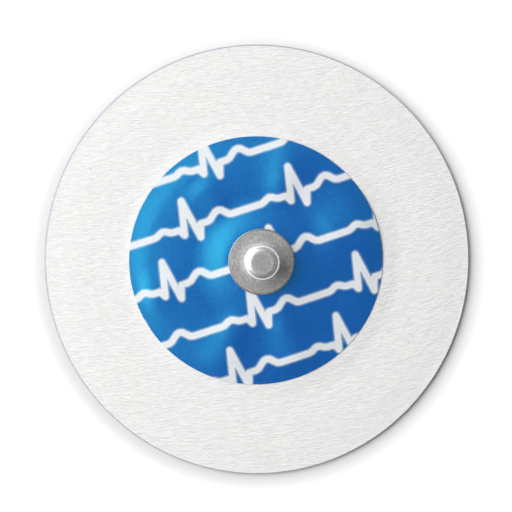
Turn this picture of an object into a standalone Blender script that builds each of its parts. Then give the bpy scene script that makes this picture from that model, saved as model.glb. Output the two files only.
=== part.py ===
"""Snap electrode for taking an electrocardiogram, lying on its release liner with the stud up.

Metres, +Z up. The origin is the middle of the liner's underside. From the bottom up the pieces are
the release liner, the nonwoven carrier with its hole, the gel pad in that hole, the sensor eyelet on
the gel, the printed label film over them all, and the drawn metal stud that grips the eyelet's post.
"""

import math

import bmesh
import bpy

MM = 0.001

# The coat of adhesive, or the lie of one layer on the next, which is left open between two layers
ADHESIVE = 0.04 * MM

# Release liner
LINER_THICKNESS = 0.10 * MM
LINER_MARGIN = 0.15 * MM

# Carrier, slightly longer than wide because the web was stretched when it was die-cut
CARRIER_WIDTH = 47.7 * MM
CARRIER_LENGTH = 48.3 * MM
CARRIER_THICKNESS = 0.35 * MM

# Label film, a little off the carrier's middle
LABEL_WIDTH = 28.6 * MM
LABEL_LENGTH = 28.0 * MM
LABEL_THICKNESS = 0.10 * MM
LABEL_SHIFT_X = -0.15 * MM
LABEL_SHIFT_Y = -0.05 * MM

# The stud's axis, a little off the carrier's middle
SNAP_SHIFT_X = 0.42 * MM
SNAP_SHIFT_Y = -0.16 * MM

# Gel pad
GEL_RADIUS = 8.8 * MM
GEL_THICKNESS = 0.80 * MM
GEL_ROUND = 0.25 * MM
GEL_CLEARANCE = 0.30 * MM

# Where the film and the carrier run down from the gel to the liner
LIFT_INSET = 0.8 * MM
LIFT_WIDTH = 7.0 * MM
LIFT_EASE = 1.0 * MM

# Sensor eyelet
EYELET_RADIUS = 3.85 * MM
EYELET_THICKNESS = 0.50 * MM
EYELET_ROUND = 0.20 * MM
POST_CLEARANCE = 0.10 * MM
POST_TOP_CLEARANCE = 0.25 * MM

# Where the film runs down from the eyelet to the gel
HUMP_RUN = 3.4 * MM
HUMP_SKEW = 0.8

# Stud, drawn from sheet, with the head of a standard electrode snap
STUD_SHEET = 0.25 * MM
STUD_HEIGHT = 3.20 * MM
FLANGE_RADIUS = 3.72 * MM
FLANGE_ROUND = 0.12 * MM
NECK_RADIUS = 1.65 * MM
NECK_FILLET = 0.35 * MM
NECK_LENGTH = 0.50 * MM
HEAD_RADIUS = 1.98 * MM
HEAD_FLAT_RADIUS = 0.90 * MM
HEAD_DOME_DEGREES = 32.0
HEAD_BEVEL = 0.19 * MM
HEAD_BEVEL_DEGREES = 45.0
HEAD_ROUND = 0.17 * MM
LABEL_HOLE_CLEARANCE = 0.15 * MM

# Facets round a full turn
OUTLINE_FACETS = 96
LAMINATE_FACETS = 72
GEL_FACETS = 64
METAL_FACETS = 48

# Facets along a profile
LIFT_STEPS = 6
EASE_STEPS = 3
HUMP_STEPS = 8
DOME_STEPS = 5
BULGE_STEPS = 6
ROUND_STEPS = 4

# Seam points that coincide are joined; real points are never this close
WELD = 0.001 * MM

# How far a cutter stands past what it cuts
CUTTER_REACH = 2.0 * MM

# Heights that follow from the layers below
BED = LINER_THICKNESS + ADHESIVE
GEL_TOP = BED + GEL_THICKNESS
EYELET_BOTTOM = GEL_TOP + ADHESIVE
EYELET_TOP = EYELET_BOTTOM + EYELET_THICKNESS
FILM_OVER_CARRIER = BED + CARRIER_THICKNESS + ADHESIVE
FILM_OVER_GEL = GEL_TOP + ADHESIVE
FILM_OVER_EYELET = EYELET_TOP + ADHESIVE
STUD_BOTTOM = FILM_OVER_EYELET + LABEL_THICKNESS + ADHESIVE

# Radii that follow from what fits in them
HOLE_RADIUS = GEL_RADIUS + GEL_CLEARANCE
LIFT_START = GEL_RADIUS - LIFT_INSET
LIFT_FOOT = LIFT_START + LIFT_WIDTH
HUMP_START = EYELET_RADIUS - EYELET_ROUND
HUMP_END = EYELET_RADIUS + HUMP_RUN
POST_RADIUS = NECK_RADIUS - STUD_SHEET - POST_CLEARANCE
LABEL_HOLE_RADIUS = POST_RADIUS + LABEL_HOLE_CLEARANCE

# Heights on the stud, above its underside
NECK_TOP = STUD_SHEET + NECK_FILLET + NECK_LENGTH


def clear_scene():
    """Remove every object that the scene starts with."""
    for obj in list(bpy.data.objects):
        bpy.data.objects.remove(obj, do_unlink=True)


def new_collection(name):
    collection = bpy.data.collections.new(name)
    bpy.context.scene.collection.children.link(collection)
    return collection


def new_material(name, colour, roughness, metallic=0.0):
    """A Principled BSDF with one colour."""
    material = bpy.data.materials.new(name)
    material.use_nodes = True
    shader = material.node_tree.nodes["Principled BSDF"]
    shader.inputs["Base Color"].default_value = (*colour, 1.0)
    shader.inputs["Roughness"].default_value = roughness
    shader.inputs["Metallic"].default_value = metallic
    return material


def ease(t):
    """From 0 to 1 with level ends."""
    t = min(max(t, 0.0), 1.0)
    return t * t * (3.0 - 2.0 * t)


def steps_between(start, end, count):
    """Evenly spaced values after start, up to and with end."""
    return [start + (end - start) * i / count for i in range(1, count + 1)]


def arc(centre, radii, start_degrees, end_degrees, count):
    """Points after the start of an elliptical arc, up to and with its end."""
    points = []
    for degrees in steps_between(start_degrees, end_degrees, count):
        angle = math.radians(degrees)
        points.append((centre[0] + radii[0] * math.cos(angle), centre[1] + radii[1] * math.sin(angle)))
    return points


def turned(name, profile, facets, collection, material):
    """A piece turned about its own Z axis, from (radius, height) points that run down its outer side."""
    mesh = bpy.data.meshes.new(name)
    points = [(radius, 0.0, height) for radius, height in profile]
    mesh.from_pydata(points, [(i, i + 1) for i in range(len(points) - 1)], [])
    obj = bpy.data.objects.new(name, mesh)
    collection.objects.link(obj)
    mesh.materials.append(material)
    screw = obj.modifiers.new("Turn", "SCREW")
    screw.axis = "Z"
    screw.steps = facets
    screw.render_steps = facets
    screw.use_merge_vertices = True
    screw.merge_threshold = WELD
    screw.use_smooth_shade = True
    return obj


def thicken(obj, thickness, offset):
    """A wall on an open turned surface: offset 1 grows it outwards, -1 inwards."""
    solidify = obj.modifiers.new("Wall", "SOLIDIFY")
    solidify.thickness = thickness
    solidify.offset = offset
    solidify.use_even_offset = True


def oval_disc(name, width, length, thickness, collection):
    """An upright elliptical disc whose underside is at its origin."""
    mesh = bpy.data.meshes.new(name)
    disc = bmesh.new()
    bmesh.ops.create_cone(
        disc, cap_ends=True, segments=OUTLINE_FACETS, radius1=0.5, radius2=0.5, depth=1.0
    )
    bmesh.ops.translate(disc, verts=disc.verts, vec=(0.0, 0.0, 0.5))
    bmesh.ops.scale(disc, verts=disc.verts, vec=(width, length, thickness))
    disc.to_mesh(mesh)
    disc.free()
    obj = bpy.data.objects.new(name, mesh)
    collection.objects.link(obj)
    return obj


def trim_to_oval(obj, width, length, centre, cutters):
    """Keep only what lies inside an upright elliptical cylinder, as a die cuts a sheet."""
    height = STUD_BOTTOM + 2 * CUTTER_REACH
    die = oval_disc(f"{obj.name}_die", width, length, height, cutters)
    die.location = (centre[0], centre[1], -CUTTER_REACH)
    die.hide_render = True
    die.display_type = "WIRE"
    cut = obj.modifiers.new("Die cut", "BOOLEAN")
    cut.operation = "INTERSECT"
    cut.solver = "EXACT"
    cut.object = die


def lift(radius):
    """How far the gel holds the film and the carrier above their flat lie, at a radius from the axis."""
    height = FILM_OVER_GEL - FILM_OVER_CARRIER
    slope_share = LIFT_EASE / LIFT_WIDTH
    foot_height = height * slope_share / (1.0 + slope_share)
    if radius <= LIFT_START:
        return height
    if radius <= LIFT_FOOT:
        run = (radius - LIFT_START) / LIFT_WIDTH
        return foot_height + (height - foot_height) * (1.0 - run * run)
    run = max(0.0, (LIFT_FOOT + LIFT_EASE - radius) / LIFT_EASE)
    return foot_height * run * run


def hump(radius):
    """How far the eyelet holds the film above the gel, at a radius from the stud's axis."""
    run = (radius - HUMP_START) / (HUMP_END - HUMP_START)
    return (FILM_OVER_EYELET - FILM_OVER_GEL) * (1.0 - ease(max(run, 0.0) ** HUMP_SKEW))


def lift_radii():
    """Radii from the gel's edge out to where the carrier lies flat."""
    down = steps_between(LIFT_START, LIFT_FOOT, LIFT_STEPS)
    out = steps_between(LIFT_FOOT, LIFT_FOOT + LIFT_EASE, EASE_STEPS)
    return [LIFT_START] + down + out


def make_release_liner(collection):
    """The thin film under the sticky side, which shows as a line round the carrier."""
    liner = oval_disc(
        "release_liner",
        CARRIER_WIDTH + 2 * LINER_MARGIN,
        CARRIER_LENGTH + 2 * LINER_MARGIN,
        LINER_THICKNESS,
        collection,
    )
    liner.data.materials.append(new_material("liner_film", (0.62, 0.60, 0.70), 0.2))


def make_carrier(collection, cutters):
    """The nonwoven backing, lifted round its hole by the gel and flat on the liner outside."""
    outer = max(CARRIER_WIDTH, CARRIER_LENGTH) / 2 + CUTTER_REACH
    radii = [HOLE_RADIUS] + [r for r in lift_radii() if r > HOLE_RADIUS] + [outer]
    profile = [(radius, lift(radius)) for radius in radii]
    nonwoven = new_material("nonwoven", (0.86, 0.86, 0.85), 0.9)
    carrier = turned("carrier", profile, LAMINATE_FACETS, collection, nonwoven)
    carrier.location = (SNAP_SHIFT_X, SNAP_SHIFT_Y, BED)
    thicken(carrier, CARRIER_THICKNESS, 1.0)
    trim_to_oval(carrier, CARRIER_WIDTH, CARRIER_LENGTH, (0.0, 0.0), cutters)


def make_gel_pad(collection):
    """The pad of conductive gel in the carrier's hole."""
    edge = (GEL_RADIUS - GEL_ROUND, GEL_THICKNESS - GEL_ROUND)
    profile = [(0.0, GEL_THICKNESS), (edge[0], GEL_THICKNESS)]
    profile += arc(edge, (GEL_ROUND, GEL_ROUND), 90, 0, ROUND_STEPS)
    profile += [(GEL_RADIUS, 0.0), (0.0, 0.0)]
    hydrogel = new_material("gel", (0.70, 0.82, 0.86), 0.15)
    gel = turned("gel_pad", profile, GEL_FACETS, collection, hydrogel)
    gel.location = (SNAP_SHIFT_X, SNAP_SHIFT_Y, BED)


def head_outline():
    """The head's outer side, from the middle of its flat top out to where it is widest."""
    dome_angle = math.radians(HEAD_DOME_DEGREES)
    bevel_angle = math.radians(HEAD_BEVEL_DEGREES)
    bevel_end = HEAD_RADIUS - HEAD_ROUND * (1.0 - math.sin(bevel_angle))
    bevel_start = bevel_end - HEAD_BEVEL
    dome = (bevel_start - HEAD_FLAT_RADIUS) / math.sin(dome_angle)
    outline = [(0.0, STUD_HEIGHT), (HEAD_FLAT_RADIUS, STUD_HEIGHT)]
    centre = (HEAD_FLAT_RADIUS, STUD_HEIGHT - dome)
    outline += arc(centre, (dome, dome), 90, 90 - HEAD_DOME_DEGREES, DOME_STEPS)
    bevel_foot = outline[-1][1] - HEAD_BEVEL * math.tan(bevel_angle)
    outline.append((bevel_end, bevel_foot))
    centre = (HEAD_RADIUS - HEAD_ROUND, bevel_foot - HEAD_ROUND * math.cos(bevel_angle))
    outline += arc(centre, (HEAD_ROUND, HEAD_ROUND), 90 - HEAD_BEVEL_DEGREES, 0, ROUND_STEPS)
    return outline


def bulb_radius(height, widest):
    """Radius of the stud's outer side between the neck and where the head is widest."""
    run = (widest - height) / (widest - NECK_TOP)
    return HEAD_RADIUS + (NECK_RADIUS - HEAD_RADIUS) * ease(run)


def hollow_line(wall, drop):
    """Up the inside of the head from the top of the neck to the middle of its ceiling.

    The wall is how far in from the head's outer side, and the drop how far under its inner ceiling.
    """
    widest = head_outline()[-1][1]
    shoulder = widest - STUD_SHEET / 2 - drop
    heights = [NECK_TOP] + steps_between(NECK_TOP, shoulder, BULGE_STEPS)
    line = [(bulb_radius(height, widest) - wall, height) for height in heights]
    ceiling = STUD_HEIGHT - STUD_SHEET - drop
    return line + [(HEAD_FLAT_RADIUS, ceiling), (0.0, ceiling)]


def make_sensor_eyelet(collection):
    """The coated disc on the gel, with the post that the stud grips inside its head."""
    stud_base = STUD_BOTTOM - EYELET_BOTTOM
    post = hollow_line(STUD_SHEET + POST_CLEARANCE, POST_TOP_CLEARANCE)
    profile = [(radius, stud_base + height) for radius, height in reversed(post)]
    edge = (EYELET_RADIUS - EYELET_ROUND, EYELET_THICKNESS - EYELET_ROUND)
    profile += [(POST_RADIUS, EYELET_THICKNESS), (edge[0], EYELET_THICKNESS)]
    profile += arc(edge, (EYELET_ROUND, EYELET_ROUND), 90, 0, ROUND_STEPS)
    profile += [(EYELET_RADIUS, 0.0), (0.0, 0.0)]
    coat = new_material("silver_coat", (0.45, 0.44, 0.43), 0.5, 0.3)
    eyelet = turned("sensor_eyelet", profile, METAL_FACETS, collection, coat)
    eyelet.location = (SNAP_SHIFT_X, SNAP_SHIFT_Y, EYELET_BOTTOM)


def make_label_film(collection, cutters):
    """The printed film, flat on the eyelet, running down over the gel and out over the carrier."""
    outer = max(LABEL_WIDTH, LABEL_LENGTH) / 2 + CUTTER_REACH
    radii = [LABEL_HOLE_RADIUS, HUMP_START]
    radii += steps_between(HUMP_START, HUMP_END, HUMP_STEPS)
    radii += [r for r in lift_radii() if HUMP_END < r < outer] + [outer]
    profile = [(radius, hump(radius) + lift(radius)) for radius in radii]
    blue_film = new_material("blue_film", (0.04, 0.24, 0.58), 0.3)
    film = turned("label_film", profile, LAMINATE_FACETS, collection, blue_film)
    film.location = (SNAP_SHIFT_X, SNAP_SHIFT_Y, FILM_OVER_CARRIER)
    thicken(film, LABEL_THICKNESS, 1.0)
    trim_to_oval(film, LABEL_WIDTH, LABEL_LENGTH, (LABEL_SHIFT_X, LABEL_SHIFT_Y), cutters)


def make_snap_stud(collection):
    """The drawn stud: flat-topped head with a bevelled shoulder, neck, and flat flange, all hollow."""
    outside = head_outline()
    widest = outside[-1][1]
    for height in steps_between(widest, NECK_TOP, BULGE_STEPS):
        outside.append((bulb_radius(height, widest), height))
    fillet = (NECK_RADIUS + NECK_FILLET, STUD_SHEET + NECK_FILLET)
    outside.append((NECK_RADIUS, fillet[1]))
    outside += arc(fillet, (NECK_FILLET, NECK_FILLET), 180, 270, ROUND_STEPS)
    rim = (FLANGE_RADIUS - FLANGE_ROUND, STUD_SHEET - FLANGE_ROUND)
    outside.append((rim[0], STUD_SHEET))
    outside += arc(rim, (FLANGE_ROUND, FLANGE_ROUND), 90, 0, ROUND_STEPS)
    outside.append((FLANGE_RADIUS, 0.0))
    mouth_round = NECK_FILLET + STUD_SHEET
    inside = [(fillet[0], 0.0)]
    inside += arc(fillet, (mouth_round, mouth_round), 270, 180, ROUND_STEPS)
    inside += hollow_line(STUD_SHEET, 0.0)
    steel = new_material("satin_steel", (0.42, 0.42, 0.42), 0.35, 1.0)
    stud = turned("snap_stud", outside + inside, METAL_FACETS, collection, steel)
    stud.location = (SNAP_SHIFT_X, SNAP_SHIFT_Y, STUD_BOTTOM)


def main():
    clear_scene()
    electrode = new_collection("ecg_electrode")
    cutters = new_collection("cutters")
    make_release_liner(electrode)
    make_carrier(electrode, cutters)
    make_gel_pad(electrode)
    make_sensor_eyelet(electrode)
    make_label_film(electrode, cutters)
    make_snap_stud(electrode)


main()
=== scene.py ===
"""Snap electrode on its release liner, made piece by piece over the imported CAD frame.

Metres, +Z up out of the stud, +Y to the top of the label. Each operator makes one piece, in place, from
the sizes and colours in its property group. The last operator sets the floor, the lamps and the camera.
"""

import math

import bmesh
import bpy
from mathutils import Matrix, Vector, noise


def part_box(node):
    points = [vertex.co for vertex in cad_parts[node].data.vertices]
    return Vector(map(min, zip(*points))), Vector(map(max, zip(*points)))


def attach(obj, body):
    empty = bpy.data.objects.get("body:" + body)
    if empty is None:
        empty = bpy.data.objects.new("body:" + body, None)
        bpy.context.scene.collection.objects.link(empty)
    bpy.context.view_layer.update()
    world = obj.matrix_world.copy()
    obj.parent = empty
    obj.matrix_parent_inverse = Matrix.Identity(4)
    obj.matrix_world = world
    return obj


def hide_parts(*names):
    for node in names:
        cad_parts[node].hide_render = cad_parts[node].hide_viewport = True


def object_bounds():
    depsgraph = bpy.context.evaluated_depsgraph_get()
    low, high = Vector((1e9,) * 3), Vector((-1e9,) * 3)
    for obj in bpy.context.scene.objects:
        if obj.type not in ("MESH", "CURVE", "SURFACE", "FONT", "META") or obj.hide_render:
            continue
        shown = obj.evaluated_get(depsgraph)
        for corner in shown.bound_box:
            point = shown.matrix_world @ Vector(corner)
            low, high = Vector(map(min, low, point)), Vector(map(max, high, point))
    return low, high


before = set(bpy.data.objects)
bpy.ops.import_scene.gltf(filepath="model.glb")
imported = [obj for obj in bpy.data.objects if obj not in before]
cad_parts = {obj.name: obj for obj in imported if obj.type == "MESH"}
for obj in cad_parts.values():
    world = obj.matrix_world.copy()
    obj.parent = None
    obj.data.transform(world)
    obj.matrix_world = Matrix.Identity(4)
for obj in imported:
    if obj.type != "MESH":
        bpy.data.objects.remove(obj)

bl_info = {
    "name": "ECG electrode",
    "version": (1, 0, 0),
    "blender": (4, 5, 0),
    "location": "3D View > Sidebar > Electrode",
    "description": "Builds a snap electrode with its liner, carrier, gel, label film and stud",
    "category": "Mesh",
}

MM = 0.001

# Boxes of the solids, from which the sizes below take their defaults
CAD_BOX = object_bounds()
LINER_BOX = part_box("release_liner")
CARRIER_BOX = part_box("carrier")
GEL_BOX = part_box("gel_pad")
EYELET_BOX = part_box("sensor_eyelet")
LABEL_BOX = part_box("label_film")
STUD_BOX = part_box("snap_stud")

# The stud's axis, round which the gel, the eyelet and the film's rise are turned
AXIS = (STUD_BOX[0] + STUD_BOX[1]) / 2

# Coat of adhesive between two layers
ADHESIVE = 0.04 * MM

# The carrier's sheet, and where the film's underside lies on it away from the gel
CARRIER_THICKNESS = 0.35 * MM
FLAT_FILM = CARRIER_BOX[0].z + CARRIER_THICKNESS + ADHESIVE

# Where the gel holds the film and the carrier up, and how they run down to the liner
LIFT_INSET = 0.8 * MM
LIFT_WIDTH = 7.0 * MM
LIFT_EASE = 1.0 * MM

# Where the eyelet holds the film up
EYELET_THICKNESS = 0.50 * MM
EYELET_ROUND = 0.20 * MM
HUMP_RUN = 4.0 * MM
HUMP_SKEW = 0.8

# The film runs down further on one side: how much further, and the direction in degrees
HUMP_SPREAD = 4.2 * MM
HUMP_SPREAD_DIRECTION = 320.0

# Soft folds in the film: direction and half-width in degrees, height, and the two radii between
# which the fold stands
FOLDS = (
    (74.0, 11.5, 0.300 * MM, 5.5 * MM, 15.5 * MM),
    (128.0, 11.0, 0.140 * MM, 6.0 * MM, 12.0 * MM),
    (19.0, 19.0, 0.380 * MM, 5.5 * MM, 15.0 * MM),
    (249.0, 12.5, 0.290 * MM, 5.0 * MM, 15.0 * MM),
    (291.0, 11.0, 0.240 * MM, 4.5 * MM, 14.0 * MM),
    (196.0, 10.0, 0.100 * MM, 8.5 * MM, 14.5 * MM),
)

# How the film and the carrier are pressed down toward their rims: how far, and over which width
CARRIER_PRESS = 0.07 * MM
CARRIER_PRESS_WIDTH = 3.2 * MM
FILM_PRESS = 0.02 * MM
FILM_PRESS_WIDTH = 2.5 * MM

# The crinkles' run across the web: how much it curves, in 1/m, and its slope in the middle
WEB_CURVE = 3.1
WEB_SLOPE = 0.075

# One heartbeat of the printed trace: millimetres along the base line and above it
HEARTBEAT = (
    (0.00, 0.00), (0.35, 0.08), (0.75, 0.32), (1.10, 0.42), (1.45, 0.32), (1.85, 0.08), (2.20, 0.00),
    (2.95, 0.00), (3.35, -0.70), (4.15, 3.10), (5.00, -1.45), (5.45, 0.00), (6.25, 0.00), (6.65, 0.12),
    (7.05, 0.48), (7.45, 0.78), (7.80, 0.86), (8.15, 0.74), (8.50, 0.38), (8.80, 0.10), (9.15, 0.00),
)

# The distance to the print is measured up to this far, and the print's edge wavers by this much
PRINT_REACH = 1.2 * MM
PRINT_WAVER = 0.02 * MM

# The floor glows from just inside the electrode's rim outwards, round a point a little below the middle,
# which paints a darker halo round the rim, wider on its lower side
GLOW_CENTRE = Vector((0.04 * MM, -0.32 * MM, 0.0))
GLOW_START = -0.35 * MM
GLOW_END = 2.45 * MM

# The sky is lighter on one side: its gain along each axis
SKY_LEAN = (-0.15, 0.50, 0.0)

# Where the lamp and the camera are from the electrode, and what the camera looks at
KEY_SIDE = Vector((-0.700, 0.248, 0.67)).normalized()
CAMERA_SIDE = Vector((-0.04, 0.036, 1.0)).normalized()
CAMERA_AIM = Vector((-0.135 * MM, 0.45 * MM, 0.5 * MM))


def colour_property(name, description, default):
    return bpy.props.FloatVectorProperty(
        name=name, description=description, default=default, size=3, min=0.0, max=1.0, subtype="COLOR"
    )


def length_property(name, description, default):
    return bpy.props.FloatProperty(
        name=name, description=description, default=default, min=0.0, precision=6, unit="LENGTH"
    )


def level_property(name, description, default):
    return bpy.props.FloatProperty(
        name=name, description=description, default=default, min=0.0, soft_max=2.0
    )


def share_property(name, description, default):
    return bpy.props.FloatProperty(
        name=name, description=description, default=default, min=0.0, max=1.0, subtype="FACTOR"
    )


class ReleaseLinerSizes(bpy.types.PropertyGroup):
    """Thin film that the sticky side lies on."""

    width: length_property("Width", "Width across the liner", LINER_BOX[1].x - LINER_BOX[0].x)
    length: length_property("Length", "Length of the liner", LINER_BOX[1].y - LINER_BOX[0].y)
    thickness: length_property("Thickness", "Thickness of the film", LINER_BOX[1].z - LINER_BOX[0].z)
    shift: length_property("Shift", "How far it lies off the middle, up and to the left", 0.04 * MM)
    tint: colour_property("Tint", "Colour of the siliconised film", (0.50, 0.48, 0.55))


class CarrierSizes(bpy.types.PropertyGroup):
    """Creped nonwoven backing with a hole for the gel."""

    width: length_property("Width", "Width across the backing", CARRIER_BOX[1].x - CARRIER_BOX[0].x)
    length: length_property("Length", "Length of the backing", CARRIER_BOX[1].y - CARRIER_BOX[0].y)
    thickness: length_property("Thickness", "Thickness of the nonwoven", CARRIER_THICKNESS)
    hole_radius: length_property("Hole radius", "Radius of the hole for the gel", 9.1 * MM)
    crepe_depth: length_property("Crepe depth", "Height of the larger crinkles", 0.016 * MM)
    crepe_pitch: length_property("Crepe pitch", "Distance from one crinkle to the next", 0.42 * MM)
    crepe_length: length_property("Crepe length", "Length of one crinkle across the web", 1.5 * MM)
    shift: length_property("Shift", "How far it lies off the middle, to the right", 0.07 * MM)
    colour: colour_property("Colour", "Colour of the fibres", (0.895, 0.894, 0.885))


class GelPadSizes(bpy.types.PropertyGroup):
    """Conductive gel pad."""

    radius: length_property("Radius", "Radius of the pad", (GEL_BOX[1].x - GEL_BOX[0].x) / 2)
    thickness: length_property("Thickness", "Thickness of the pad", GEL_BOX[1].z - GEL_BOX[0].z)
    edge_round: length_property("Edge round", "Rounding of the pad's edge", 0.25 * MM)
    tint: colour_property("Tint", "Colour of the hydrogel", (0.72, 0.84, 0.88))


class LabelFilmSizes(bpy.types.PropertyGroup):
    """Printed film over the gel and the eyelet."""

    width: length_property("Width", "Width across the film", LABEL_BOX[1].x - LABEL_BOX[0].x)
    length: length_property("Length", "Length of the film", LABEL_BOX[1].y - LABEL_BOX[0].y)
    thickness: length_property("Thickness", "Thickness of the film", 0.10 * MM)
    hole_radius: length_property("Hole radius", "Radius of the hole for the post", 1.5 * MM)
    blue: colour_property("Blue", "Colour of the film", (0.011, 0.066, 0.55))
    ink: colour_property("Ink", "Colour of the print", (0.750, 0.785, 0.815))
    line_width: length_property("Line width", "Width of the printed line", 0.69 * MM)
    beat_scale: bpy.props.FloatProperty(
        name="Beat scale", description="Size of a heartbeat in the trace", default=1.0, min=0.2, max=3.0
    )
    trace_pitch: length_property("Trace pitch", "Distance from one trace to the next", 5.9 * MM)
    beat_pitch: length_property("Beat pitch", "Distance from one heartbeat to the next", 12.6 * MM)
    trace_tilt: bpy.props.FloatProperty(
        name="Trace tilt",
        description="How far the traces rise to the right",
        default=math.radians(18.0),
        min=0.0,
        max=math.pi,
        subtype="ANGLE",
    )


class SnapStudSizes(bpy.types.PropertyGroup):
    """Drawn metal stud."""

    height: length_property("Height", "Height of the stud", STUD_BOX[1].z - STUD_BOX[0].z)
    flange_radius: length_property(
        "Flange radius", "Radius of the flange", (STUD_BOX[1].x - STUD_BOX[0].x) / 2
    )
    flange_round: length_property("Flange round", "Rounding of the flange's rim", 0.12 * MM)
    neck_radius: length_property("Neck radius", "Radius of the neck", 1.65 * MM)
    neck_length: length_property("Neck length", "Straight part of the neck", 0.50 * MM)
    neck_fillet: length_property("Neck fillet", "Radius where the neck meets the flange", 0.35 * MM)
    head_radius: length_property("Head radius", "Radius of the head", 1.98 * MM)
    head_flat: length_property("Head flat", "Radius of the head's flat top", 1.18 * MM)
    head_dome: bpy.props.FloatProperty(
        name="Head dome",
        description="How far the top turns down before its bevel",
        default=math.radians(36.0),
        min=0.1,
        max=1.2,
        subtype="ANGLE",
    )
    head_bevel: length_property("Head bevel", "Width of the head's bevel from above", 0.19 * MM)
    head_round: length_property("Head round", "Rounding from the bevel to the side", 0.17 * MM)
    sheet: length_property("Sheet", "Thickness of the drawn sheet", 0.25 * MM)
    steel: colour_property("Steel", "Colour of the plating", (0.70, 0.695, 0.685))


class SensorEyeletSizes(bpy.types.PropertyGroup):
    """Coated sensor eyelet, whose solid is kept."""

    coat: colour_property("Coat", "Colour of the silver and silver chloride coat", (0.45, 0.44, 0.43))


class StageSizes(bpy.types.PropertyGroup):
    """Floor, backdrop, lamps and camera."""

    floor_radius: length_property("Floor radius", "Radius of the floor", 1.2)
    backdrop_height: length_property("Backdrop height", "Height of the wall round the floor", 0.5)
    floor_colour: colour_property("Floor colour", "Colour of floor and backdrop", (0.70, 0.70, 0.70))
    floor_glow: share_property("Floor glow", "Added to the floor so that it shows white", 0.36)
    backdrop_glow: share_property("Backdrop glow", "Added to the wall so that it shows white", 0.66)
    sky_top: share_property("Sky top", "Level of the soft light from straight above", 0.11)
    sky_side: share_property("Sky side", "Level of the soft light from the sides", 0.46)
    key_level: level_property("Key level", "Level that the soft lamp adds on a level surface", 1.03)
    key_distance: length_property("Key distance", "Distance of the soft lamp", 0.45)
    key_width: length_property("Key width", "Width of the soft lamp", 0.54)
    key_height: length_property("Key height", "Height of the soft lamp", 0.35)
    camera_distance: length_property("Camera distance", "Distance of the camera", 0.33)
    view_width: length_property("View width", "Width of what the camera sees", 57.8 * MM)


def facing(back, up):
    """The turn of a camera or lamp whose back is toward a direction, with its top to another."""
    across = up.cross(back).normalized()
    return Matrix((across, back.cross(across), back)).transposed().to_euler()


def ease(t):
    """From 0 to 1 with level ends."""
    t = min(max(t, 0.0), 1.0)
    return t * t * (3.0 - 2.0 * t)


def steps_between(start, end, count):
    """Evenly spaced values after start, up to and with end."""
    return [start + (end - start) * i / count for i in range(1, count + 1)]


def arc(centre, radius, start_degrees, end_degrees, count):
    """Points of a profile after the start of an arc, up to and with its end."""
    turns = [math.radians(degrees) for degrees in steps_between(start_degrees, end_degrees, count)]
    return [(centre[0] + radius * math.cos(turn), centre[1] + radius * math.sin(turn)) for turn in turns]


def lift(radius):
    """How far the gel holds the film and the carrier above their flat lie."""
    height = GEL_BOX[1].z + ADHESIVE - FLAT_FILM
    start = (GEL_BOX[1].x - GEL_BOX[0].x) / 2 - LIFT_INSET
    slope_share = LIFT_EASE / LIFT_WIDTH
    foot_height = height * slope_share / (1.0 + slope_share)
    if radius <= start:
        return height
    if radius <= start + LIFT_WIDTH:
        run = (radius - start) / LIFT_WIDTH
        return foot_height + (height - foot_height) * (1.0 - run * run)
    run = max(0.0, (start + LIFT_WIDTH + LIFT_EASE - radius) / LIFT_EASE)
    return foot_height * run * run


def hump(radius, degrees):
    """How far the eyelet holds the film above the gel."""
    eyelet_radius = (EYELET_BOX[1].x - EYELET_BOX[0].x) / 2
    start = eyelet_radius - EYELET_ROUND
    spread = HUMP_SPREAD * max(math.cos(math.radians(degrees - HUMP_SPREAD_DIRECTION)), 0.0) ** 2
    run = (radius - start) / (EYELET_ROUND + HUMP_RUN + spread)
    return (EYELET_THICKNESS + ADHESIVE) * (1.0 - ease(max(run, 0.0) ** HUMP_SKEW))


def fold(radius, degrees):
    """Height of the soft folds in the film."""
    height = 0.0
    for direction, half_width, rise, inner, outer in FOLDS:
        turn = (degrees - direction + 180.0) % 360.0 - 180.0
        along = (radius - inner) / (outer - inner)
        if 0.0 < along < 1.0:
            run = ease(along * 2.5) * ease((1.0 - along) * 3.0)
            height += rise * math.exp(-((turn / half_width) ** 2)) * run
    return height


def crepe(x, y, sizes):
    """Height of the nonwoven's larger crinkles, which run across the web and turn up to the right."""
    bend = WEB_CURVE * x * x + WEB_SLOPE * x
    along = x / sizes.crepe_length
    across = (y - bend) / sizes.crepe_pitch
    sway = 0.9 * noise.noise(Vector((x / (5 * MM), y / (4 * MM), 3.0)))
    first = noise.noise(Vector((along, across + sway, 0.0)))
    second = noise.noise(Vector((2.1 * along, 2.1 * (across + sway), 7.0)))
    return sizes.crepe_depth * (first + 0.55 * second)


def edge_distance(direction, centre, half_width, half_length):
    """How far an oval's edge is from the stud's axis, in a direction in radians."""
    x, y = AXIS.x - centre.x, AXIS.y - centre.y
    dx, dy = math.cos(direction) / half_width, math.sin(direction) / half_length
    px, py = x / half_width, y / half_length
    a = dx * dx + dy * dy
    b = px * dx + py * dy
    c = px * px + py * py - 1.0
    return (-b + math.sqrt(b * b - a * c)) / a


def turned(corners, cuts, facets, closed):
    """A mesh spun about the Z axis from a few profile corners, each edge between them cut as told."""
    bm = bmesh.new()
    verts = [bm.verts.new((radius, 0.0, height)) for radius, height in corners]
    ends = verts[1:] + (verts[:1] if closed else [])
    edges = [bm.edges.new(pair) for pair in zip(verts, ends)]
    for edge, count in zip(edges, cuts):
        if count:
            bmesh.ops.subdivide_edges(bm, edges=[edge], cuts=count)
    bmesh.ops.spin(
        bm,
        geom=bm.verts[:] + bm.edges[:],
        axis=(0, 0, 1),
        cent=(0, 0, 0),
        angle=math.tau,
        steps=facets,
        use_merge=True,
    )
    bmesh.ops.remove_doubles(bm, verts=bm.verts, dist=1e-7)
    bmesh.ops.recalc_face_normals(bm, faces=bm.faces)
    return bm


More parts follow.
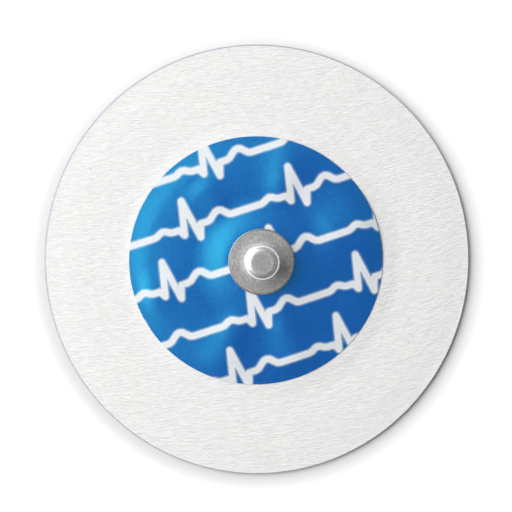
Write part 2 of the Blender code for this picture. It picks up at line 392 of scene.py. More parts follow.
def finished(bm, name, material, slot, *nodes):
    """A smooth piece from a mesh that is in place, riding on the body and standing for the nodes."""
    mesh = bpy.data.meshes.new(name)
    for face in bm.faces:
        face.smooth = True
    bm.to_mesh(mesh)
    bm.free()
    mesh.materials.append(material)
    piece = bpy.data.objects.new(name, mesh)
    bpy.context.scene.collection.objects.link(piece)
    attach(piece, "root")
    if nodes:
        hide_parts(*nodes)
    return piece


def keep_corners(piece, degrees):
    """Leave edges sharper than an angle unsmoothed."""
    piece.data.set_sharp_from_angle(angle=math.radians(degrees))


def set_or_link(tree, socket, value):
    """Give a socket a plain value, or link it to another socket."""
    if isinstance(value, bpy.types.NodeSocket):
        tree.links.new(value, socket)
    elif hasattr(value, "__len__") and len(value) == 3 and len(socket.default_value) == 4:
        socket.default_value = (*value, 1.0)
    else:
        socket.default_value = value


def new_material(name, colour, roughness, metallic=0.0):
    """A material, its node tree and its Principled BSDF."""
    material = bpy.data.materials.new(name)
    material.use_nodes = True
    material.diffuse_color = (*colour, 1.0)
    tree = material.node_tree
    shader = tree.nodes["Principled BSDF"]
    shader.inputs["Base Color"].default_value = (*colour, 1.0)
    shader.inputs["Roughness"].default_value = roughness
    shader.inputs["Metallic"].default_value = metallic
    return material, tree, shader


def place(tree, scale):
    """The object's own coordinates, scaled to cells of a pattern."""
    coordinates = tree.nodes.new("ShaderNodeTexCoord")
    mapping = tree.nodes.new("ShaderNodeMapping")
    mapping.inputs["Scale"].default_value = scale
    tree.links.new(coordinates.outputs["Object"], mapping.inputs["Vector"])
    return mapping.outputs["Vector"]


def mottle(tree, vector, detail=2.0, roughness=0.5, distortion=0.0):
    """Noise at one cell to a unit of the vector."""
    texture = tree.nodes.new("ShaderNodeTexNoise")
    texture.inputs["Scale"].default_value = 1.0
    texture.inputs["Detail"].default_value = detail
    texture.inputs["Roughness"].default_value = roughness
    texture.inputs["Distortion"].default_value = distortion
    tree.links.new(vector, texture.inputs["Vector"])
    return texture.outputs["Fac"]


def ramp(tree, value, low, high, at_low=0.0, at_high=1.0, smooth=False):
    """A value mapped from one range to another, and kept inside it."""
    node = tree.nodes.new("ShaderNodeMapRange")
    if smooth:
        node.interpolation_type = "SMOOTHSTEP"
    for name, number in (("From Min", low), ("From Max", high), ("To Min", at_low), ("To Max", at_high)):
        node.inputs[name].default_value = number
    tree.links.new(value, node.inputs["Value"])
    return node.outputs["Result"]


def blended(tree, share, first, second, mode="MIX"):
    """Two colours mixed by a share."""
    mix = tree.nodes.new("ShaderNodeMix")
    mix.data_type = "RGBA"
    mix.blend_type = mode
    set_or_link(tree, mix.inputs["Factor"], share)
    set_or_link(tree, mix.inputs[6], first)
    set_or_link(tree, mix.inputs[7], second)
    return mix.outputs[2]


def calculated(tree, operation, first, second=0.0, third=0.0):
    """A Math node's result."""
    node = tree.nodes.new("ShaderNodeMath")
    node.operation = operation
    for socket, value in zip(node.inputs, (first, second, third)):
        set_or_link(tree, socket, value)
    return node.outputs["Value"]


def bumped(tree, height, depth, below=None):
    """A normal raised by a height that runs from 0 to 1, with its depth in metres."""
    node = tree.nodes.new("ShaderNodeBump")
    node.inputs["Strength"].default_value = 1.0
    node.inputs["Distance"].default_value = depth
    tree.links.new(height, node.inputs["Height"])
    if below is not None:
        tree.links.new(below, node.inputs["Normal"])
    return node.outputs["Normal"]


def band(tree, value, start, end, soft):
    """From 0 to 1 and back to 0 round a start and an end."""
    inner = ramp(tree, value, start - soft / 2, start + soft / 2)
    outer = ramp(tree, value, end - soft / 2, end + soft / 2, 1.0, 0.0)
    return calculated(tree, "MULTIPLY", inner, outer)


def liner_material(sizes):
    """Thin siliconised film with a violet tint and faint rolling marks."""
    material, tree, shader = new_material("liner_film", sizes.tint, 0.24)
    streaks = mottle(tree, place(tree, (140, 900, 500)), 3.0, 0.5)
    deeper = tuple(0.86 * channel for channel in sizes.tint)
    tree.links.new(blended(tree, streaks, deeper, sizes.tint), shader.inputs["Base Color"])
    tree.links.new(ramp(tree, streaks, 0.3, 0.7, 0.2, 0.32), shader.inputs["Roughness"])
    tree.links.new(bumped(tree, streaks, 0.006 * MM), shader.inputs["Normal"])
    shader.inputs["Specular IOR Level"].default_value = 0.3
    return material


def nonwoven_material(sizes):
    """White nonwoven: fine wavy crinkles across the web with painted shade in their dips, matted fibres,
    and a few specks.
    """
    material, tree, shader = new_material("nonwoven", sizes.colour, 0.92)
    coordinates = tree.nodes.new("ShaderNodeTexCoord")
    parts = tree.nodes.new("ShaderNodeSeparateXYZ")
    tree.links.new(coordinates.outputs["Object"], parts.inputs["Vector"])
    squared = calculated(tree, "MULTIPLY", parts.outputs["X"], parts.outputs["X"])
    tilted = calculated(tree, "MULTIPLY_ADD", parts.outputs["X"], -WEB_SLOPE, parts.outputs["Y"])
    bent = calculated(tree, "MULTIPLY_ADD", squared, -WEB_CURVE, tilted)
    web = tree.nodes.new("ShaderNodeCombineXYZ")
    tree.links.new(parts.outputs["X"], web.inputs["X"])
    tree.links.new(bent, web.inputs["Y"])
    tree.links.new(parts.outputs["Z"], web.inputs["Z"])

    def scaled(x, y):
        node = tree.nodes.new("ShaderNodeMapping")
        node.inputs["Scale"].default_value = (x, y, 600)
        tree.links.new(web.outputs["Vector"], node.inputs["Vector"])
        return node.outputs["Vector"]

    crinkle = mottle(tree, scaled(1150, 6000), 3.0, 0.55, 0.6)
    fibres = mottle(tree, scaled(3600, 12000), 2.0, 0.6, 1.2)
    cloud = mottle(tree, place(tree, (180, 180, 180)), 2.0)

    specks = tree.nodes.new("ShaderNodeTexVoronoi")
    specks.inputs["Scale"].default_value = 1.0
    tree.links.new(place(tree, (640, 760, 640)), specks.inputs["Vector"])
    hue = tree.nodes.new("ShaderNodeSeparateColor")
    tree.links.new(specks.outputs["Color"], hue.inputs["Color"])
    near = ramp(tree, specks.outputs["Distance"], 0.05, 0.13, 1.0, 0.0)
    chosen = ramp(tree, hue.outputs["Red"], 0.955, 0.965)
    dark_speck = calculated(tree, "MULTIPLY", near, chosen)

    # Painted shade: the crinkles' dips are darker in colour, on top of their bump
    painted_hollow_shade = ramp(tree, crinkle, 0.34, 0.60, 0.0, 1.0)
    shaded = blended(tree, painted_hollow_shade, tuple(0.90 * c for c in sizes.colour), sizes.colour)
    warm = (sizes.colour[0], 0.995 * sizes.colour[1], 0.975 * sizes.colour[2])
    tinted = blended(tree, ramp(tree, cloud, 0.35, 0.65, 0.0, 0.6), shaded, warm, "DARKEN")
    speckled = blended(tree, calculated(tree, "MULTIPLY", dark_speck, 0.45), tinted, (0.42, 0.41, 0.40))
    tree.links.new(speckled, shader.inputs["Base Color"])
    tree.links.new(ramp(tree, fibres, 0.3, 0.7, 0.84, 0.97), shader.inputs["Roughness"])
    fuzz = bumped(tree, fibres, 0.014 * MM)
    tree.links.new(bumped(tree, crinkle, 0.110 * MM, fuzz), shader.inputs["Normal"])
    shader.inputs["Sheen Weight"].default_value = 0.08
    shader.inputs["Sheen Roughness"].default_value = 0.5
    shader.inputs["Specular IOR Level"].default_value = 0.2
    return material


def gel_material(sizes):
    """Clear wet hydrogel with a faint cloudiness."""
    material, tree, shader = new_material("hydrogel", sizes.tint, 0.14)
    cloud = mottle(tree, place(tree, (420, 420, 420)), 3.0)
    paler = tuple(0.5 + 0.5 * channel for channel in sizes.tint)
    tree.links.new(blended(tree, cloud, sizes.tint, paler), shader.inputs["Base Color"])
    tree.links.new(ramp(tree, cloud, 0.3, 0.7, 0.08, 0.22), shader.inputs["Roughness"])
    tree.links.new(bumped(tree, cloud, 0.03 * MM), shader.inputs["Normal"])
    shader.inputs["Transmission Weight"].default_value = 0.6
    shader.inputs["IOR"].default_value = 1.37
    return material


def coat_material(sizes):
    """Grey silver and silver chloride coat on moulded plastic, mottled where it is thin."""
    material, tree, shader = new_material("silver_coat", sizes.coat, 0.48, 0.35)
    patches = mottle(tree, place(tree, (900, 900, 900)), 4.0, 0.6)
    grain = mottle(tree, place(tree, (9000, 9000, 9000)), 1.0)
    thin = (0.80 * sizes.coat[0], 0.76 * sizes.coat[1], 0.74 * sizes.coat[2])
    tone = blended(tree, ramp(tree, patches, 0.4, 0.6), thin, sizes.coat)
    tree.links.new(tone, shader.inputs["Base Color"])
    tree.links.new(ramp(tree, grain, 0.3, 0.7, 0.4, 0.58), shader.inputs["Roughness"])
    tree.links.new(bumped(tree, grain, 0.004 * MM), shader.inputs["Normal"])
    return material


def film_material(sizes):
    """Blue film with a pearly pigment, a little paler close to the print."""
    material, tree, shader = new_material("pearly_blue_film", sizes.blue, 0.36)
    distance = tree.nodes.new("ShaderNodeAttribute")
    distance.attribute_name = "print_distance"
    cloud = mottle(tree, place(tree, (260, 260, 260)), 3.0)
    deeper = (0.85 * sizes.blue[0], 0.88 * sizes.blue[1], 0.93 * sizes.blue[2])
    blue = blended(tree, ramp(tree, cloud, 0.35, 0.65), deeper, sizes.blue)
    grain = mottle(tree, place(tree, (4200, 4200, 4200)), 3.0, 0.6)
    blue = blended(tree, ramp(tree, grain, 0.30, 0.70, 0.72, 1.0), (0.0, 0.0, 0.0), blue)
    fringe = ramp(tree, distance.outputs["Fac"], 0.0, 0.26, 0.55, 0.0, True)
    pits = ramp(tree, mottle(tree, place(tree, (5200, 5200, 5200)), 1.0), 0.72, 0.80)
    speckled = blended(tree, calculated(tree, "MULTIPLY", pits, 0.35), blue, (0.01, 0.05, 0.20))
    tree.links.new(blended(tree, fringe, speckled, sizes.ink), shader.inputs["Base Color"])
    tree.links.new(ramp(tree, grain, 0.3, 0.7, 0.34, 0.41), shader.inputs["Roughness"])
    ripple = mottle(tree, place(tree, (700, 700, 700)), 2.0)
    rippled = bumped(tree, ripple, 0.010 * MM)
    tree.links.new(bumped(tree, grain, 0.004 * MM, rippled), shader.inputs["Normal"])
    shader.inputs["IOR"].default_value = 2.4
    shader.inputs["Specular IOR Level"].default_value = 1.0
    shader.inputs["Specular Tint"].default_value = (0.072, 0.84, 0.85, 1.0)
    return material


def ink_material(sizes):
    """Matt white print, thinner in places."""
    material, tree, shader = new_material("white_print", sizes.ink, 0.8)
    worn = mottle(tree, place(tree, (3600, 3600, 3600)), 3.0, 0.6)
    thin = tuple(0.90 * channel for channel in sizes.ink)
    ink = blended(tree, ramp(tree, worn, 0.28, 0.42), thin, sizes.ink)
    pits = ramp(tree, mottle(tree, place(tree, (5200, 5200, 5200)), 1.0), 0.70, 0.78)
    pitted = blended(tree, calculated(tree, "MULTIPLY", pits, 0.3), ink, sizes.blue)
    tree.links.new(pitted, shader.inputs["Base Color"])
    tree.links.new(ramp(tree, worn, 0.3, 0.7, 0.7, 0.9), shader.inputs["Roughness"])
    tree.links.new(bumped(tree, worn, 0.003 * MM), shader.inputs["Normal"])
    shader.inputs["Specular IOR Level"].default_value = 0.3
    return material


def steel_material(sizes):
    """Tumbled matt plating with fine grain and tiny pits, polished round the head where clips rub it,
    with a painted highlight on its dome and bevel and painted shade along its seam.
    """
    material, tree, shader = new_material("satin_steel", sizes.steel, 0.50, 1.0)
    grain = mottle(tree, place(tree, (7000, 7000, 7000)), 3.0, 0.65)
    patches = mottle(tree, place(tree, (1300, 1300, 1300)), 3.0, 0.6)
    pits = ramp(tree, mottle(tree, place(tree, (6500, 6500, 6500)), 2.0, 0.5), 0.66, 0.74)
    dull = tuple(0.88 * channel for channel in sizes.steel)
    tone = blended(tree, ramp(tree, patches, 0.35, 0.65), dull, sizes.steel)
    tone = blended(tree, ramp(tree, grain, 0.36, 0.60, 0.62, 1.0), (0.0, 0.0, 0.0), tone)
    pitted = blended(tree, calculated(tree, "MULTIPLY", pits, 0.30), tone, (0.20, 0.18, 0.16))

    centred = place(tree, (1.0, 1.0, 0.0))
    centred.node.inputs["Location"].default_value = (-AXIS.x, -AXIS.y, 0.0)
    radius = tree.nodes.new("ShaderNodeVectorMath")
    radius.operation = "LENGTH"
    tree.links.new(centred, radius.inputs[0])
    distance = radius.outputs["Value"]

    # Clips rub the dome a little and the bevel outside the seam a lot; the near-white plating there is
    # also a painted highlight, a light ring round the head
    seam = sizes.head_radius - sizes.head_bevel - 0.3 * sizes.head_round
    dome = band(tree, distance, sizes.head_flat, seam - 0.20 * MM, 0.50 * MM)
    bevel = band(tree, distance, seam, seam + 0.16 * MM, 0.06 * MM)
    dome_share = calculated(tree, "MULTIPLY", dome, 0.60)
    bevel_share = calculated(tree, "MULTIPLY", bevel, 0.95)
    rub_and_painted_highlight = calculated(tree, "MAXIMUM", dome_share, bevel_share)
    rubbed_and_highlit = blended(tree, rub_and_painted_highlight, pitted, (0.98, 0.98, 0.97))

    # Painted shade along the inside of the seam, darker on the lower right, away from the lamp
    toward = tree.nodes.new("ShaderNodeVectorMath")
    toward.operation = "DOT_PRODUCT"
    toward.inputs[1].default_value = (0.71 / sizes.head_radius, -0.71 / sizes.head_radius, 0.0)
    tree.links.new(centred, toward.inputs[0])
    painted_shade_side = ramp(tree, toward.outputs["Value"], -0.2, 0.6, 0.20, 0.85, True)
    seam_shade_band = band(tree, distance, seam - 0.12 * MM, seam - 0.03 * MM, 0.05 * MM)

    # A broken dark line runs just inside the flange's edge
    rim = sizes.flange_radius
    jagged = calculated(tree, "MULTIPLY_ADD", patches, 0.14 * MM, distance)
    line_in = ramp(tree, jagged, rim - 0.10 * MM, rim - 0.05 * MM, 0.0, 0.75, True)
    line_out = ramp(tree, distance, rim - 0.08 * MM, rim - 0.03 * MM, 1.0, 0.0, True)
    outline = calculated(tree, "MULTIPLY", line_in, line_out)
    # The painted seam shade and the dark line at the flange's edge, mixed in together
    shade_and_rim_line = calculated(tree, "MULTIPLY_ADD", seam_shade_band, painted_shade_side, outline)
    tree.links.new(blended(tree, shade_and_rim_line, rubbed_and_highlit, (0.12, 0.11, 0.10)), shader.inputs["Base Color"])

    # The head is smoother where it is rubbed and duller on its side
    rubbed = band(
        tree, distance, sizes.head_flat + 0.05 * MM, sizes.head_radius + 0.03 * MM, 0.15 * MM
    )
    side = band(tree, distance, seam + 0.06 * MM, sizes.head_radius + 0.30 * MM, 0.08 * MM)
    matt = ramp(tree, grain, 0.3, 0.7, 0.46, 0.58)
    duller = calculated(tree, "MULTIPLY_ADD", side, 0.20, matt)
    polish = calculated(tree, "MULTIPLY", rubbed, 0.08)
    tree.links.new(calculated(tree, "SUBTRACT", duller, polish), shader.inputs["Roughness"])
    dented = bumped(tree, patches, 0.004 * MM)
    tree.links.new(bumped(tree, grain, 0.004 * MM, dented), shader.inputs["Normal"])
    return material


def paper_material(name, colour, glow):
    """Plain pale floor or backdrop, which glows a little to the camera, in gloss and through glass.

    So it shows white away from the electrode. The glow fades out toward the electrode's rim, round a
    point a little below the middle, which paints a darker halo round the rim, wider on its lower side,
    over the floor's own soft shadow.
    """
    material, tree, shader = new_material(name, colour, 0.95)
    shader.inputs["Specular IOR Level"].default_value = 0.1
    tone = mottle(tree, place(tree, (3, 3, 3)), 2.0)
    almost = tuple(0.995 * channel for channel in colour)
    tree.links.new(blended(tree, tone, almost, colour), shader.inputs["Base Color"])
    path = tree.nodes.new("ShaderNodeLightPath")
    seen = calculated(tree, "MAXIMUM", path.outputs["Is Camera Ray"], path.outputs["Is Glossy Ray"])
    shown = calculated(tree, "MAXIMUM", seen, path.outputs["Is Transmission Ray"])
    distance = tree.nodes.new("ShaderNodeVectorMath")
    distance.operation = "LENGTH"
    centred = place(tree, (1.0, 1.0, 1.0))
    centred.node.inputs["Location"].default_value = -GLOW_CENTRE
    tree.links.new(centred, distance.inputs[0])
    rim = (CAD_BOX[1].x - CAD_BOX[0].x) / 2
    # Painted shadow halo: no glow next to the rim, full glow a little further out
    away = ramp(tree, distance.outputs["Value"], rim + GLOW_START, rim + GLOW_END, 0.0, glow, True)
    shader.inputs["Emission Color"].default_value = (1.0, 1.0, 1.0, 1.0)
    tree.links.new(calculated(tree, "MULTIPLY", shown, away), shader.inputs["Emission Strength"])
    return material


class ELECTRODE_OT_release_liner(bpy.types.Operator):
    """Make the release liner"""

    bl_idname = "electrode.release_liner"
    bl_label = "Release Liner"

    def execute(self, context):
        sizes = context.scene.electrode_liner
        bm = bmesh.new()
        bmesh.ops.create_cone(
            bm, cap_ends=True, segments=360, radius1=0.5, radius2=0.5, depth=sizes.thickness
        )
        rims = [edge for edge in bm.edges if abs(edge.verts[0].co.z - edge.verts[1].co.z) < 1e-7]
        caps = [face for face in bm.faces if len(face.verts) > 4]
        bmesh.ops.inset_region(bm, faces=caps, thickness=0.02)
        spare = 2 * sizes.shift
        bmesh.ops.scale(bm, verts=bm.verts, vec=(sizes.width - spare, sizes.length - spare, 1.0))
        middle = (-sizes.shift, sizes.shift, LINER_BOX[0].z + sizes.thickness / 2)
        bmesh.ops.translate(bm, verts=bm.verts, vec=middle)
        bmesh.ops.bevel(
            bm, geom=rims, offset=0.02 * MM, segments=2, profile=0.5, affect="EDGES", material=-1
        )
        liner = finished(bm, "liner_sheet", liner_material(sizes), "liner_film", "release_liner")
        keep_corners(liner, 35)
        return {"FINISHED"}


class ELECTRODE_OT_carrier(bpy.types.Operator):
    """Make the creped nonwoven carrier with its hole"""

    bl_idname = "electrode.carrier"
    bl_label = "Nonwoven Carrier"

    def execute(self, context):
        sizes = context.scene.electrode_carrier
        label = context.scene.electrode_label
        hole, outer = sizes.hole_radius, sizes.length / 2
        hidden = label.width / 2 - 0.6 * MM
        top = sizes.thickness
        corners = [(hole, top), (hidden, top), (outer, top), (outer, 0.0), (hidden, 0.0), (hole, 0.0)]
        bm = turned(corners, (5, 62, 1, 3, 2, 0), 720, True)
        centre = (CARRIER_BOX[0] + CARRIER_BOX[1]) / 2 + Vector((sizes.shift, 0.0, 0.0))
        for vert in bm.verts:
            direction = math.atan2(vert.co.y, vert.co.x)
            along = (math.hypot(vert.co.x, vert.co.y) - hole) / (outer - hole)
            edge = edge_distance(direction, centre, sizes.width / 2, sizes.length / 2)
            radius = hole + along * (edge - hole)
            x, y = AXIS.x + radius * math.cos(direction), AXIS.y + radius * math.sin(direction)
            height = CARRIER_BOX[0].z + vert.co.z + lift(radius)
            if vert.co.z > 0.6 * top:
                free = ease((radius - label.width / 2 + 0.2 * MM) / (0.6 * MM))
                pressed = ease((radius - edge) / CARRIER_PRESS_WIDTH + 1.0)
                height += free * crepe(x, y, sizes) - CARRIER_PRESS * pressed
            vert.co = (x, y, height)
        carrier = finished(bm, "nonwoven_carrier", nonwoven_material(sizes), "nonwoven", "carrier")
        keep_corners(carrier, 50)
        return {"FINISHED"}


def is_at(point, radius, height):
    """Whether a point lies on a circle about the Z axis."""
    return abs(math.hypot(point.x, point.y) - radius) < 1e-6 and abs(point.z - height) < 1e-7


class ELECTRODE_OT_gel_pad(bpy.types.Operator):
    """Make the gel pad in the carrier's hole"""

    bl_idname = "electrode.gel_pad"
    bl_label = "Gel Pad"

    def execute(self, context):
        sizes = context.scene.electrode_gel
        radius, top = sizes.radius, sizes.thickness
        bm = turned([(0.0, top), (radius, top), (radius, 0.0), (0.0, 0.0)], (16, 1, 6), 144, False)
        rim = [edge for edge in bm.edges if all(is_at(v.co, radius, top) for v in edge.verts)]
        bmesh.ops.bevel(
            bm, geom=rim, offset=sizes.edge_round, segments=5, profile=0.5, affect="EDGES", material=-1
        )
        for vert in bm.verts:
            if vert.co.z > 0.6 * top:
                ripple = noise.noise(Vector((vert.co.x / (2.2 * MM), vert.co.y / (2.2 * MM), 1.0)))
                vert.co.z -= 0.012 * MM * (1.0 + ripple)
        bmesh.ops.translate(bm, verts=bm.verts, vec=(AXIS.x, AXIS.y, GEL_BOX[0].z))
        gel = finished(bm, "hydrogel_pad", gel_material(sizes), "gel", "gel_pad")
        return {"FINISHED"}


class ELECTRODE_OT_sensor_eyelet(bpy.types.Operator):
    """Coat the sensor eyelet"""

    bl_idname = "electrode.sensor_eyelet"
    bl_label = "Sensor Eyelet"

    def execute(self, context):
        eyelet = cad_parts["sensor_eyelet"]
        coat = coat_material(context.scene.electrode_eyelet)
        if not eyelet.material_slots:
            eyelet.data.materials.append(coat)
        for slot in eyelet.material_slots:
            slot.material = coat
        return {"FINISHED"}


def trace_corners(sizes):
    """Corners of the printed heartbeat traces, which run side by side across the film on a slant."""
    centre = (LABEL_BOX[0] + LABEL_BOX[1]) / 2
    reach = sizes.width / 2 + sizes.beat_pitch
    cosine, sine = math.cos(sizes.trace_tilt), math.sin(sizes.trace_tilt)
    traces = []
    for row in range(-2, 3):
        along = -reach + (row % 3) * sizes.beat_pitch / 3
        corners = []
        while along < reach:
            for step, height in HEARTBEAT:
                x = along + sizes.beat_scale * step * MM
                y = row * sizes.trace_pitch + sizes.beat_scale * height * MM
                corners.append((centre.x + x * cosine - y * sine, centre.y + x * sine + y * cosine))
            along += sizes.beat_pitch
        traces.append(corners)
    return traces


def line_distance(x, y, pieces):
    """Shortest distance from a point to a set of straight pieces."""
    least = 1.0
    for ax, ay, dx, dy, squared in pieces:
        share = min(max(((x - ax) * dx + (y - ay) * dy) / squared, 0.0), 1.0)
        gap = math.hypot(x - ax - share * dx, y - ay - share * dy)
        least = min(least, gap)
    return least


def cut_print(bm, layer, above):
    """Cut the film's top along the edge of the print, and list the faces that carry ink."""
    cuts = []
    for edge in bm.edges[:]:
        start, end = edge.verts
        if start in above and end in above and start[layer] * end[layer] < 0.0:
            share = start[layer] / (start[layer] - end[layer])
            vert = bmesh.utils.edge_split(edge, start, share)[1]
            vert[layer] = 0.0
            cuts.append(vert)
    bmesh.ops.connect_verts(bm, verts=cuts)
    above = above.union(cuts)
    bm.faces.index_update()
    return {
        face.index
        for face in bm.faces
        if all(vert in above for vert in face.verts) and sum(vert[layer] for vert in face.verts) < 0.0
    }


class ELECTRODE_OT_label_film(bpy.types.Operator):
    """Make the printed label film over the gel and the eyelet"""

    bl_idname = "electrode.label_film"
    bl_label = "Label Film"

    def execute(self, context):
        sizes = context.scene.electrode_label
        hole, outer = sizes.hole_radius, sizes.width / 2
        hidden = (STUD_BOX[1].x - STUD_BOX[0].x) / 2 - 0.3 * MM
        top = sizes.thickness
        corners = [(hole, top), (hidden, top), (outer, top), (outer, 0.0), (hidden, 0.0), (hole, 0.0)]
        bm = turned(corners, (5, 86, 0, 12, 2, 0), 400, True)
        layer = bm.verts.layers.float.new("print_distance")
        above = {vert for vert in bm.verts if vert.co.z > top / 2}
        centre = (LABEL_BOX[0] + LABEL_BOX[1]) / 2
        for vert in bm.verts:
            direction = math.atan2(vert.co.y, vert.co.x)
            along = (math.hypot(vert.co.x, vert.co.y) - hole) / (outer - hole)
            edge = edge_distance(direction, centre, sizes.width / 2, sizes.length / 2)
            radius = hole + along * (edge - hole)
            x, y = AXIS.x + radius * math.cos(direction), AXIS.y + radius * math.sin(direction)
            degrees = math.degrees(direction)
            height = FLAT_FILM + vert.co.z + lift(radius) + hump(radius, degrees) + fold(radius, degrees)
            pressed = ease((radius - edge) / FILM_PRESS_WIDTH + 1.0)
            vert.co = (x, y, height - pressed * (FILM_PRESS + 0.5 * vert.co.z))

        pieces = []
        for corners in trace_corners(sizes):
            for (ax, ay), (bx, by) in zip(corners, corners[1:]):
                dx, dy = bx - ax, by - ay
                pieces.append((ax, ay, dx, dy, dx * dx + dy * dy))
        for vert in bm.verts:
            x, y = vert.co.x, vert.co.y
            near = [p for p in pieces if math.hypot(x - p[0], y - p[1]) < PRINT_REACH + math.sqrt(p[4])]
            gap = line_distance(x, y, near) if near else PRINT_REACH
            wavers = PRINT_WAVER * noise.noise(Vector((x / (0.35 * MM), y / (0.35 * MM), 5.0)))
            vert[layer] = (min(gap, PRINT_REACH) - sizes.line_width / 2 + wavers) / MM
        inked = cut_print(bm, layer, above)
        film = finished(bm, "printed_film", film_material(sizes), "blue_film", "label_film")
        film.data.materials.append(ink_material(sizes))
        for face in film.data.polygons:
            face.material_index = 1 if face.index in inked else 0
        keep_corners(film, 50)
        return {"FINISHED"}


def head_outline(sizes):
    """The head's outer side, from the middle of its top out to where it is widest."""
    turn = math.radians(45.0)
    bevel_end = sizes.head_radius - sizes.head_round * (1.0 - math.sin(turn))
    bevel_start = bevel_end - sizes.head_bevel
    dome = (bevel_start - sizes.head_flat) / math.sin(sizes.head_dome)
    outline = [(0.0, sizes.height), (sizes.head_flat, sizes.height)]
    centre = (sizes.head_flat, sizes.height - dome)
    outline += arc(centre, dome, 90, 90 - math.degrees(sizes.head_dome), 12)
    foot = outline[-1][1] - sizes.head_bevel * math.tan(turn)
    outline.append((bevel_end, foot))
    side = (sizes.head_radius - sizes.head_round, foot - sizes.head_round * math.cos(turn))
    return outline + arc(side, sizes.head_round, 45, 0, 6)


def bulb_radius(sizes, height):
    """Radius of the stud's outer side between the neck and where the head is widest."""
    widest = head_outline(sizes)[-1][1]
    neck_top = sizes.sheet + sizes.neck_fillet + sizes.neck_length
    narrowing = ease((widest - height) / (widest - neck_top))
    return sizes.head_radius + (sizes.neck_radius - sizes.head_radius) * narrowing


class ELECTRODE_OT_snap_stud(bpy.types.Operator):
    """Make the drawn metal stud"""

    bl_idname = "electrode.snap_stud"
    bl_label = "Snap Stud"

    def execute(self, context):
        sizes = context.scene.electrode_stud
        outside = head_outline(sizes)
        widest = outside[-1][1]
        neck_top = sizes.sheet + sizes.neck_fillet + sizes.neck_length
        for height in steps_between(widest, neck_top, 14):
            outside.append((bulb_radius(sizes, height), height))
        fillet = (sizes.neck_radius + sizes.neck_fillet, sizes.sheet + sizes.neck_fillet)
        outside.append((sizes.neck_radius, fillet[1]))
        outside += arc(fillet, sizes.neck_fillet, 180, 270, 8)
        rim = (sizes.flange_radius - sizes.flange_round, sizes.sheet - sizes.flange_round)
        outside.append((rim[0], sizes.sheet))
        flange = len(outside) - 2
        outside += arc(rim, sizes.flange_round, 90, 0, 6)
        outside.append((sizes.flange_radius, 0.0))
        inside = [(fillet[0], 0.0)] + arc(fillet, sizes.neck_fillet + sizes.sheet, 270, 180, 8)
        for height in [neck_top] + steps_between(neck_top, widest - sizes.sheet / 2, 12):
            inside.append((bulb_radius(sizes, height) - sizes.sheet, height))
        ceiling = sizes.height - sizes.sheet
        profile = outside + inside + [(sizes.head_flat, ceiling), (0.0, ceiling)]
        cuts = [0] * (len(profile) - 1)
        cuts[0] = 6
        cuts[flange] = 12
        bm = turned(profile, cuts, 180, False)
        bmesh.ops.translate(bm, verts=bm.verts, vec=(AXIS.x, AXIS.y, STUD_BOX[0].z))
        stud = finished(bm, "satin_stud", steel_material(sizes), "satin_steel", "snap_stud")
        keep_corners(stud, 50)
        return {"FINISHED"}


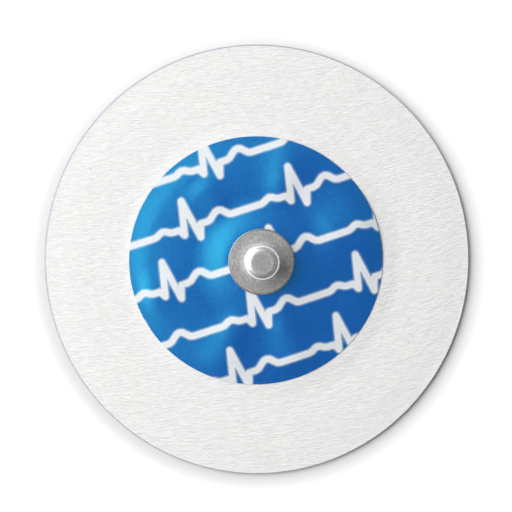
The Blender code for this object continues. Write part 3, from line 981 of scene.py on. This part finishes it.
class ELECTRODE_OT_stage(bpy.types.Operator):
    """Set the floor, the backdrop, the lamps and the camera"""

    bl_idname = "electrode.stage"
    bl_label = "Stage"

    def execute(self, context):
        sizes = context.scene.electrode_stage
        bm = bmesh.new()
        bmesh.ops.create_circle(bm, cap_ends=True, segments=96, radius=sizes.floor_radius)
        edges = [edge for edge in bm.edges if edge.is_boundary]
        raised = bmesh.ops.extrude_edge_only(bm, edges=edges)["geom"]
        wall_top = [part for part in raised if isinstance(part, bmesh.types.BMVert)]
        bmesh.ops.translate(bm, verts=wall_top, vec=(0.0, 0.0, sizes.backdrop_height))
        mesh = bpy.data.meshes.new("floor")
        bm.to_mesh(mesh)
        bm.free()
        mesh.materials.append(paper_material("floor_paper", sizes.floor_colour, sizes.floor_glow))
        mesh.materials.append(paper_material("backdrop_paper", sizes.floor_colour, sizes.backdrop_glow))
        for face in mesh.polygons:
            face.material_index = 0 if abs(face.normal.z) > 0.5 else 1
        floor = bpy.data.objects.new("floor", mesh)
        context.scene.collection.objects.link(floor)

        world = bpy.data.worlds.new("studio")
        context.scene.world = world
        world.use_nodes = True
        tree = world.node_tree
        background = tree.nodes["Background"]
        background.inputs["Color"].default_value = (1.0, 1.0, 1.0, 1.0)
        coordinates = tree.nodes.new("ShaderNodeTexCoord")
        parts = tree.nodes.new("ShaderNodeSeparateXYZ")
        tree.links.new(coordinates.outputs["Generated"], parts.inputs["Vector"])
        rise = calculated(tree, "MULTIPLY", parts.outputs["Z"], parts.outputs["Z"])
        level = ramp(tree, rise, 0.0, 1.0, sizes.sky_side, sizes.sky_top)
        lean = tree.nodes.new("ShaderNodeVectorMath")
        lean.operation = "DOT_PRODUCT"
        lean.inputs[1].default_value = SKY_LEAN
        tree.links.new(coordinates.outputs["Generated"], lean.inputs[0])
        leaning = calculated(tree, "MULTIPLY_ADD", lean.outputs["Value"], level, level)
        tree.links.new(leaning, background.inputs["Strength"])

        key = bpy.data.lights.new("soft_key", "AREA")
        key.shape = "RECTANGLE"
        key.size = sizes.key_width
        key.size_y = sizes.key_height
        key.energy = sizes.key_level * math.pi**2 * sizes.key_distance**2 / KEY_SIDE.z
        lamp = bpy.data.objects.new("soft_key", key)
        lamp.location = KEY_SIDE * sizes.key_distance
        lamp.rotation_euler = facing(KEY_SIDE, Vector((0.0, 0.0, 1.0)))
        context.scene.collection.objects.link(lamp)

        lens = bpy.data.cameras.new("camera")
        lens.sensor_width = 36.0
        lens.lens = lens.sensor_width * sizes.camera_distance / sizes.view_width
        lens.clip_start = 0.01
        lens.clip_end = 10.0
        camera = bpy.data.objects.new("camera", lens)
        camera.location = CAMERA_AIM + CAMERA_SIDE * sizes.camera_distance
        camera.rotation_euler = facing(CAMERA_SIDE, Vector((0.0, 1.0, 0.0)))
        context.scene.collection.objects.link(camera)
        context.scene.camera = camera
        context.scene.view_settings.view_transform = "Standard"
        return {"FINISHED"}


GROUPS = (
    ("electrode_liner", ReleaseLinerSizes),
    ("electrode_carrier", CarrierSizes),
    ("electrode_gel", GelPadSizes),
    ("electrode_eyelet", SensorEyeletSizes),
    ("electrode_label", LabelFilmSizes),
    ("electrode_stud", SnapStudSizes),
    ("electrode_stage", StageSizes),
)

OPERATORS = (
    ELECTRODE_OT_release_liner,
    ELECTRODE_OT_carrier,
    ELECTRODE_OT_gel_pad,
    ELECTRODE_OT_sensor_eyelet,
    ELECTRODE_OT_label_film,
    ELECTRODE_OT_snap_stud,
    ELECTRODE_OT_stage,
)


class ELECTRODE_PT_pieces(bpy.types.Panel):
    """Pieces of the electrode, with the sizes and colours of each"""

    bl_idname = "ELECTRODE_PT_pieces"
    bl_label = "ECG Electrode"
    bl_space_type = "VIEW_3D"
    bl_region_type = "UI"
    bl_category = "Electrode"

    def draw(self, context):
        for (attribute, group), operator in zip(GROUPS, OPERATORS):
            box = self.layout.box()
            box.operator(operator.bl_idname)
            for name in group.__annotations__:
                box.prop(getattr(context.scene, attribute), name)


def register():
    for attribute, group in GROUPS:
        bpy.utils.register_class(group)
        setattr(bpy.types.Scene, attribute, bpy.props.PointerProperty(type=group))
    for operator in OPERATORS:
        bpy.utils.register_class(operator)
    bpy.utils.register_class(ELECTRODE_PT_pieces)


def unregister():
    bpy.utils.unregister_class(ELECTRODE_PT_pieces)
    for operator in reversed(OPERATORS):
        bpy.utils.unregister_class(operator)
    for attribute, group in reversed(GROUPS):
        delattr(bpy.types.Scene, attribute)
        bpy.utils.unregister_class(group)


def main():
    register()
    bpy.ops.electrode.release_liner()
    bpy.ops.electrode.carrier()
    bpy.ops.electrode.gel_pad()
    bpy.ops.electrode.sensor_eyelet()
    bpy.ops.electrode.label_film()
    bpy.ops.electrode.snap_stud()
    bpy.ops.electrode.stage()


if __name__ == "__main__":
    main()
